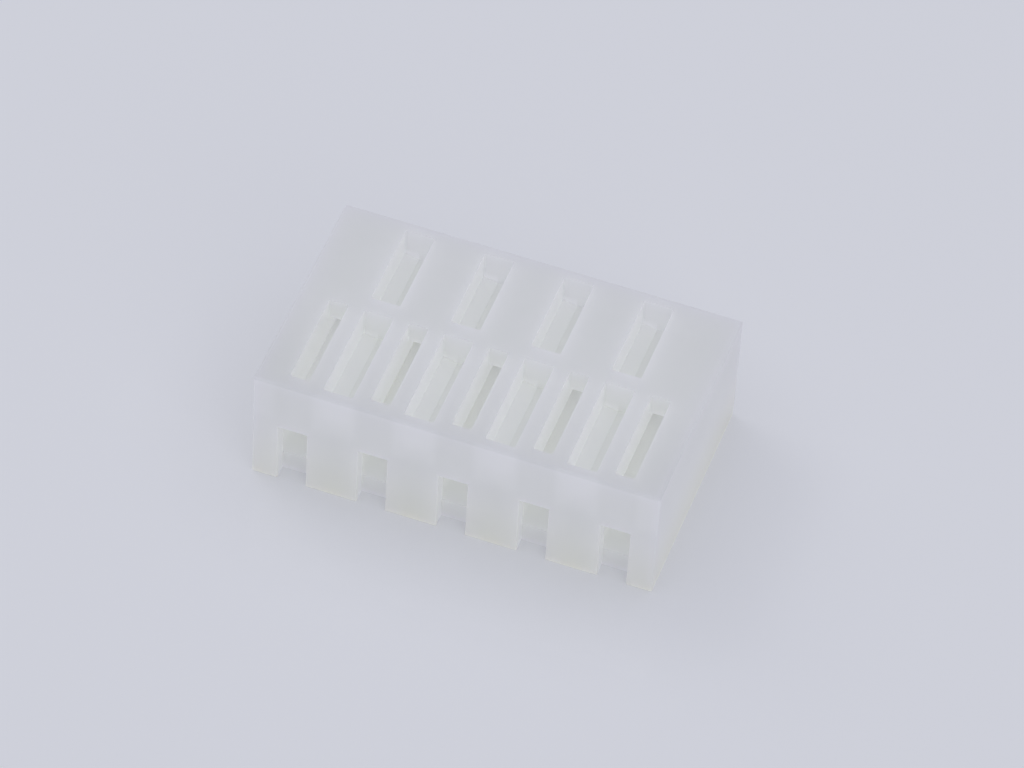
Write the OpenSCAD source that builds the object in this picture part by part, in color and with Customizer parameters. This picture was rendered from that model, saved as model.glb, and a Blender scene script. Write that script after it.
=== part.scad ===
// Wire to board connector housing: one row of crimp contact cavities, moulded in one piece.
// The mating face looks to -Y, the wires go in from +Y, and Z is up. Millimetres.

/* [Row] */
// Number of circuits in the row
circuits = 5; // [2:1:12]
// Distance from one circuit to the next
pitch = 3.96; // [3.8:0.02:5.08]

/* [Body] */
// Depth from the mating face to the wire side
body_d = 11.9; // [11:0.1:15]
// Height of the body
body_h = 6.5; // [6.1:0.1:8]
// Rounding of the outside edges
edge_r = 0.12; // [0.02:0.02:0.3]

/* [Walls] */
// Thickness over the latch channels, and over the contact chambers under a pocket
roof_t = 1.15; // [0.8:0.05:1.4]
// Thickness under the contact chambers
floor_t = 1.1; // [0.8:0.05:1.4]
// Thickness of the mating face
front_t = 0.77; // [0.5:0.01:1.2]
// Thickness between two neighbouring contact chambers
partition_t = 1.15; // [0.7:0.05:1.4]
// Thickness of the webs around the coring pockets
web_t = 0.52; // [0.3:0.02:0.6]

/* [Contact cavities] */
// Width of the pin entry and of the latch channel above the contact chamber
entry_w = 1.46; // [1.2:0.02:1.7]
// Height of the shoulders where the chamber narrows to the latch channel
shoulder_z = 3.6; // [3.3:0.1:4]
// How far the wire openings flare out on each side
flare = 0.18; // [0.04:0.02:0.24]
// Depth of the flare of the wire openings
flare_d = 0.5; // [0.2:0.1:1]

/* [Locking windows] */
// Width of the window where the contact's latch shows
window_w = 0.96; // [0.8:0.02:1.2]
// Distance from the mating face to the shoulder that holds the latch
window_end = 5.87; // [5:0.01:6.5]

/* [Coring pockets] */
// Thickness of the rib between the front and the rear pocket
rib_t = 0.83; // [0.5:0.01:1.2]
// How far the pocket floors fall from the sides to the middle
floor_dip = 0.18; // [0.05:0.01:0.3]
// Rounding of the upright corners of the pockets and windows
corner_r = 0.1; // [0.04:0.02:0.2]

/* [Hidden] */
$fn = 48;

nylon = [0.9, 0.91, 0.89];          // natural PA66
past = 1;                           // how far a cutter runs past an open face
row_w = circuits * pitch;
chamber_w = pitch - partition_t;
channel_top = body_h - roof_t;
pocket_w = pitch - entry_w - 2 * web_t;
pocket_floor = shoulder_z + roof_t; // lowest line of the pocket floors
rear_pocket = window_end + rib_t;   // where the rear pockets start

housing();

// The whole moulding, standing on its underside and centred on X and Y.
module housing()
    color(nylon)
    translate([0, -body_d / 2, 0])
    difference() {
        rounded_block([row_w, body_d, body_h], edge_r);
        along_row(circuits) {
            contact_cavity();
            wire_flare();
            locking_window();
            pin_entry();
        }
        along_row(circuits - 1) coring_pockets();
    }

// The children once for each of n places, one pitch apart and centred on X.
module along_row(n)
    for (i = [0 : n - 1])
        translate([(i - (n - 1) / 2) * pitch, 0, 0]) children();

// Contact chamber with the narrower latch channel on top: a T on its head,
// closed by the mating face and open to the wire side.
module contact_cavity()
    translate([0, front_t, 0]) {
        run = body_d - front_t + past;
        centred_box(chamber_w, run, floor_t, shoulder_z);
        centred_box(entry_w, run, floor_t, channel_top);
    }

// Lead-in around the wire opening, cut by two wedges that cross.
module wire_flare() {
    flare_box(chamber_w, floor_t, shoulder_z);
    flare_box(entry_w, floor_t, channel_top);
}

// A box that grows by the flare on all four sides towards the wire side.
module flare_box(w, z0, z1)
    intersection() {
        linear_extrude(body_h)
            polygon(wedge(-w / 2, w / 2));
        translate([-pitch / 2, 0, 0])
            rotate([90, 0, 90]) linear_extrude(pitch)
                polygon([for (p = wedge(z0, z1)) [p[1], p[0]]]);
    }

// Outline of the flare from a to b, as [across, depth] points.
function wedge(a, b) = [
    [a, body_d - flare_d], [b, body_d - flare_d],
    [b + flare, body_d], [b + flare, body_d + past],
    [a - flare, body_d + past], [a - flare, body_d]
];

// Window through the roof into the latch channel. Its far end holds the latch.
module locking_window()
    upright_pocket(window_w, front_t, window_end, shoulder_z);

// Opening for the header's pin, through the mating face and its lower edge.
module pin_entry()
    translate([0, -past, 0])
        centred_box(entry_w, front_t + past, -past, shoulder_z);

// The two blind pockets over a partition, with a rib left between them.
module coring_pockets() {
    coring_pocket(web_t, window_end);
    coring_pocket(rear_pocket, body_d - web_t);
}

// Blind pocket from y0 to y1 whose floor is a shallow V along the partition.
module coring_pocket(y0, y1)
    intersection() {
        upright_pocket(pocket_w, y0, y1, pocket_floor);
        translate([0, body_d, 0]) rotate([90, 0, 0]) linear_extrude(body_d)
            polygon([
                [0, pocket_floor],
                [pocket_w / 2, pocket_floor + floor_dip], [pocket_w / 2, body_h + past],
                [-pocket_w / 2, body_h + past], [-pocket_w / 2, pocket_floor + floor_dip]
            ]);
    }

// Pocket open at the top, from y0 to y1 and down to the height z.
module upright_pocket(w, y0, y1, z)
    translate([-w / 2, y0, z])
        linear_extrude(body_h - z + past)
            rounded_square([w, y1 - y0], corner_r);

// Box centred on X from the origin along Y, between the heights z0 and z1.
module centred_box(w, d, z0, z1)
    translate([-w / 2, 0, z0]) cube([w, d, z1 - z0]);

// Block centred on X, standing on the floor with its front at Y = 0, all edges rounded.
module rounded_block(size, r)
    intersection() {
        translate([-size[0] / 2, 0, 0])
            linear_extrude(size[2]) rounded_square([size[0], size[1]], r);
        translate([-size[0] / 2, size[1], 0])
            rotate([90, 0, 0]) linear_extrude(size[1]) rounded_square([size[0], size[2]], r);
        translate([-size[0] / 2, 0, 0])
            rotate([90, 0, 90]) linear_extrude(size[0]) rounded_square([size[1], size[2]], r);
    }

// Rectangle with round corners.
module rounded_square(size, r) {
    translate([r, 0]) square([size[0] - 2 * r, size[1]]);
    translate([0, r]) square([size[0], size[1] - 2 * r]);
    for (x = [r, size[0] - r], y = [r, size[1] - r])
        translate([x, y]) circle(r);
}
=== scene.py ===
import math

import bpy
from mathutils import Matrix, Vector


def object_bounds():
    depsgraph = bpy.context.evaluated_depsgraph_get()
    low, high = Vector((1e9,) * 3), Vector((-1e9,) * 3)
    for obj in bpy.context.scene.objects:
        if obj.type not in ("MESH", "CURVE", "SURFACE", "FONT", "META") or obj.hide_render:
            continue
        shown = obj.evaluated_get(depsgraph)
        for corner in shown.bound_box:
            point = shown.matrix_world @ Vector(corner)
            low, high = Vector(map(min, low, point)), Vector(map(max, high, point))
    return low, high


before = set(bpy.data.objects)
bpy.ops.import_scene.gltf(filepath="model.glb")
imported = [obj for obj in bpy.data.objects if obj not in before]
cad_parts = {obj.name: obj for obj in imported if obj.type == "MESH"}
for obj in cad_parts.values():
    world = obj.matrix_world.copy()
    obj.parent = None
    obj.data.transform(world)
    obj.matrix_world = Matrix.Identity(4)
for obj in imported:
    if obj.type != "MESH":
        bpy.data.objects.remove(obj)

cad_box = [[float(v) for v in corner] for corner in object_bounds()]

# ---------------------------------------------------------------------------------------
# The housing. One injection moulding in natural nylon, polyamide 66 without pigment. It is
# milky and lets some light through, and its walls come out of a polished tool.
# ---------------------------------------------------------------------------------------
MM = 0.001
PITCH = 3.96 * MM
FRONT_Y = cad_box[0][1]             # the mating face
NYLON_TONES = "e4e6e0", "e8eae4"
TONE_WIDTH = 2.5 * MM               # width of the faint clouds where the melt flowed
GRAIN_WIDTH = 0.12 * MM             # coarser than the tool's polish, so that it shows
GRAIN_DEPTH = 0.004 * MM
SPREAD = 2.5 * MM                   # how far light spreads in the plastic
INNER_LIGHT = "605f5b", "605f66"    # light that leaves the plastic again, warm and cool
COOLING_Z = 0.5 * MM, 4.0 * MM      # heights between which it turns from warm to cool


def linear(hex_colour):
    """An sRGB hex colour as linear RGBA."""
    values = [int(hex_colour[i:i + 2], 16) / 255 for i in (0, 2, 4)]
    return [v / 12.92 if v <= 0.04045 else ((v + 0.055) / 1.055) ** 2.4 for v in values] + [1.0]


def new_material(name):
    """An empty node material and its output node."""
    material = bpy.data.materials.new(name)
    material.use_nodes = True
    material.cycles.emission_sampling = "NONE"      # a glow counts by bounces only, to save time
    material.node_tree.nodes.clear()
    return material, material.node_tree.nodes.new("ShaderNodeOutputMaterial")


def add(material, kind, settings=(), inputs=()):
    """A node with its settings. Each input is a constant, or the socket of another node that is
    linked to it."""
    node = material.node_tree.nodes.new(kind)
    for key, value in dict(settings).items():
        setattr(node, key, value)
    for key, value in dict(inputs).items():
        if isinstance(value, bpy.types.NodeSocket):
            material.node_tree.links.new(value, node.inputs[key])
        else:
            node.inputs[key].default_value = value
    return node


def inner_light(nylon, place):
    """Emission that stands for light that has spread in the plastic and leaves it again, because
    scattering alone leaves the cavities far too dark. It is a large share of what shows: about a
    third of the light from the outer faces, and most of that from the pockets, the pin openings
    and the windows. It doesn't dim with the lamps, so under less light it has to be turned down.
    More leaves by the thin webs over the front pockets, the pockets' sides and the very foot,
    and less by the slim ribs of the top, in the pin openings and towards the wire side of the
    cavities. It is warmer low down, apart from the cavities and what lies below them."""
    x, y, z = add(nylon, "ShaderNodeSeparateXYZ", inputs={0: place}).outputs
    from_middle = add(nylon, "ShaderNodeMath", settings={"operation": "PINGPONG"},
                      inputs={0: x, 1: PITCH / 2}).outputs[0]
    across = add(nylon, "ShaderNodeMath", settings={"operation": "WRAP"},
                 inputs={0: x, 1: PITCH / 2, 2: -PITCH / 2}).outputs[0]
    from_front = add(nylon, "ShaderNodeMath", settings={"operation": "SUBTRACT"},
                     inputs={0: y, 1: FRONT_Y}).outputs[0]

    # Each region has a share of light that it adds, and steps along from_middle and across,
    # which start at the middle of a cavity, from_front, or z. A step goes smoothly from nothing
    # at its first place to all at its second, in mm.
    regions = {
        "webs": (0.20, (from_front, 0.2, 0.02), (from_middle, 0.68, 1.18), (z, 3.6, 4.6)),
        "ribs": (-0.30, (from_front, 6.5, 0.5), (z, 6.35, 6.45)),
        "pocket_sides": (0.34, (across, 1.20, 1.30), (across, 1.975, 1.94), (from_front, 0.4, 0.5),
                         (z, 4.4, 4.6), (z, 5.3, 5.0)),
        "pin_openings": (-0.22, (from_middle, 0.95, 0.75), (from_front, 4.0, 2.0),
                         (from_front, 0.05, 0.2), (z, 3.75, 3.55)),
        "wire_side": (-0.40, (from_middle, 1.75, 1.6), (from_front, 8.0, 11.5), (z, 4.6, 4.2)),
        "foot": (0.25, (z, 0.45, 0.0)),
        "cavities": (1.0, (from_middle, 1.7, 1.3), (from_front, 0.05, 0.4)),
    }
    levels = {}
    for region, (level, *steps) in regions.items():
        for distance, start, end in steps:
            level = add(nylon, "ShaderNodeMapRange", settings={"interpolation_type": "SMOOTHSTEP"},
                        inputs={"Value": distance, "From Min": start * MM, "From Max": end * MM,
                                "To Max": level}).outputs[0]
        levels[region] = level

    coolness = add(nylon, "ShaderNodeMapRange", settings={"interpolation_type": "SMOOTHSTEP"},
                   inputs={"Value": z, "From Min": COOLING_Z[0], "From Max": COOLING_Z[1],
                           "To Min": levels.pop("cavities"), "To Max": 1.0}).outputs[0]
    tint = add(nylon, "ShaderNodeMix", settings={"data_type": "RGBA"},
               inputs={0: coolness, 6: linear(INNER_LIGHT[0]),
                       7: linear(INNER_LIGHT[1])}).outputs[2]
    share = 1.0
    for level in levels.values():
        share = add(nylon, "ShaderNodeMath", settings={"operation": "ADD"},
                    inputs={0: share, 1: level}).outputs[0]
    return add(nylon, "ShaderNodeVectorMath", settings={"operation": "SCALE"},
               inputs={0: tint, "Scale": share}).outputs[0]


def natural_nylon():
    """Unpigmented PA66, moulded: milky, faintly see-through in thin walls, soft gloss."""
    nylon, out = new_material("natural_nylon_moulded")
    place = add(nylon, "ShaderNodeTexCoord").outputs["Object"]
    flow = add(nylon, "ShaderNodeTexNoise",
               inputs={"Vector": place, "Scale": 1 / TONE_WIDTH, "Detail": 2.0})
    tone = add(nylon, "ShaderNodeMix", settings={"data_type": "RGBA"},
               inputs={0: flow.outputs["Fac"], 6: linear(NYLON_TONES[0]),
                       7: linear(NYLON_TONES[1])})
    grain = add(nylon, "ShaderNodeTexNoise",
                inputs={"Vector": place, "Scale": 1 / GRAIN_WIDTH, "Detail": 3.0})
    bump = add(nylon, "ShaderNodeBump",
               inputs={"Height": grain.outputs["Fac"], "Strength": 0.08, "Distance": GRAIN_DEPTH})
    skin = add(nylon, "ShaderNodeBsdfPrincipled",
               inputs={"Base Color": tone.outputs[2], "Normal": bump.outputs["Normal"],
                       "Roughness": 0.3, "IOR": 1.53,
                       "Subsurface Weight": 1.0, "Subsurface Scale": SPREAD,
                       "Subsurface Radius": (1.0, 1.0, 1.0),
                       "Emission Color": inner_light(nylon, place), "Emission Strength": 1.0})
    nylon.node_tree.links.new(skin.outputs["BSDF"], out.inputs["Surface"])
    return nylon


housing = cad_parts["housing"]
housing.data.materials.clear()
housing.data.materials.append(natural_nylon())

# ---------------------------------------------------------------------------------------
# The table. A pale polished acrylic sheet that the loose housing lies on. It is large enough
# that no edge shows, and has a faint mirror image in it.
# ---------------------------------------------------------------------------------------
TABLE_SIZE = 3.0
TABLE_GAP = 0.01 * MM               # keeps its face clear of the housing's underside
TABLE_COLOUR = "fcfcfe"
SHOWN_COLOUR = "f4f7ff"
SHOWN_SHARE = 0.3                   # how much of it the camera sees as lit evenly
CONTACT_SHADE = 0.5                 # how dark that part is right beside the housing
SHADE_REACH = 7 * MM


def pale_acrylic():
    """Cast acrylic sheet, polished: a faint mirror image, and a soft shade by the housing."""
    acrylic, out = new_material("pale_acrylic_polished")
    sheet = add(acrylic, "ShaderNodeBsdfPrincipled",
                inputs={"Base Color": linear(TABLE_COLOUR), "Roughness": 0.03, "IOR": 1.49})
    near = add(acrylic, "ShaderNodeAmbientOcclusion", settings={"samples": 4},
               inputs={"Distance": SHADE_REACH})
    shade = add(acrylic, "ShaderNodeMapRange",
                inputs={"Value": near.outputs["AO"], "To Min": 1 - CONTACT_SHADE})
    shown = add(acrylic, "ShaderNodeEmission",
                inputs={"Color": linear(SHOWN_COLOUR), "Strength": shade.outputs[0]})
    ray = add(acrylic, "ShaderNodeLightPath")
    share = add(acrylic, "ShaderNodeMath", settings={"operation": "MULTIPLY"},
                inputs={0: ray.outputs["Is Camera Ray"], 1: SHOWN_SHARE})
    both = add(acrylic, "ShaderNodeMixShader",
               inputs={0: share.outputs[0], 1: sheet.outputs["BSDF"], 2: shown.outputs[0]})
    acrylic.node_tree.links.new(both.outputs[0], out.inputs["Surface"])
    return acrylic


half = TABLE_SIZE / 2
sheet_mesh = bpy.data.meshes.new("table")
sheet_mesh.from_pydata([(-half, -half, 0), (half, -half, 0), (half, half, 0), (-half, half, 0)],
                       [], [(0, 1, 2, 3)])
sheet_mesh.materials.append(pale_acrylic())
table = bpy.data.objects.new("table", sheet_mesh)
table.location.z = -TABLE_GAP
bpy.context.scene.collection.objects.link(table)

# ---------------------------------------------------------------------------------------
# The light. A pale room, even all round, with one soft box on the left and one low on the
# right. Light has to pass on many times to reach the ends of the cavities.
# ---------------------------------------------------------------------------------------
BOX_SIZE = 0.25
ROOM_COLOUR, ROOM_STRENGTH = "eff1ff", 0.50


def soft_box(name, place, watts):
    """A square area lamp that looks at the housing."""
    lamp = bpy.data.lights.new(name, "AREA")
    lamp.size, lamp.energy = BOX_SIZE, watts
    box = bpy.data.objects.new(name, lamp)
    box.location = place
    box.rotation_euler = (-Vector(place)).to_track_quat("-Z", "Y").to_euler()
    bpy.context.scene.collection.objects.link(box)


soft_box("left_box", (-0.32, 0.14, 0.30), 0.18)
soft_box("right_box", (0.30, -0.26, 0.16), 0.15)
room = bpy.data.worlds.new("room")
room.use_nodes = True
wall = room.node_tree.nodes["Background"]
wall.inputs["Color"].default_value = linear(ROOM_COLOUR)
wall.inputs["Strength"].default_value = ROOM_STRENGTH
bpy.context.scene.world = room
bpy.context.scene.view_settings.view_transform = "Standard"
bpy.context.scene.cycles.max_bounces = 32
bpy.context.scene.cycles.diffuse_bounces = 16

# ---------------------------------------------------------------------------------------
# The camera. A long lens, well above the housing and a little to its right, turned so that
# the row rises to the left.
# ---------------------------------------------------------------------------------------
AZIMUTH, ELEVATION, ROLL = (math.radians(a) for a in (17.07, 48.11, 3.83))
DISTANCE = 279.7 * MM
LENS, SENSOR = 210.9, 36            # mm, as Blender has them
CLIP = 0.01, 20                     # nearest and farthest that it sees
AIM = (-0.70 * MM, -0.55 * MM)      # how far the housing lies right of and above the view's middle

back = Vector((math.sin(AZIMUTH) * math.cos(ELEVATION),
               -math.cos(AZIMUTH) * math.cos(ELEVATION), math.sin(ELEVATION)))
level = Vector((math.cos(AZIMUTH), math.sin(AZIMUTH), 0))
upright = back.cross(level)
right = level * math.cos(ROLL) + upright * math.sin(ROLL)
up = upright * math.cos(ROLL) - level * math.sin(ROLL)
low, high = (Vector(corner) for corner in cad_box)
eye = (low + high) / 2 + back * DISTANCE - right * AIM[0] - up * AIM[1]
lens = bpy.data.cameras.new("camera")
lens.lens, lens.sensor_width = LENS, SENSOR
lens.clip_start, lens.clip_end = CLIP
camera = bpy.data.objects.new("camera", lens)
camera.matrix_world = Matrix.Translation(eye) @ Matrix((right, up, back)).transposed().to_4x4()
bpy.context.scene.collection.objects.link(camera)
bpy.context.scene.camera = camera
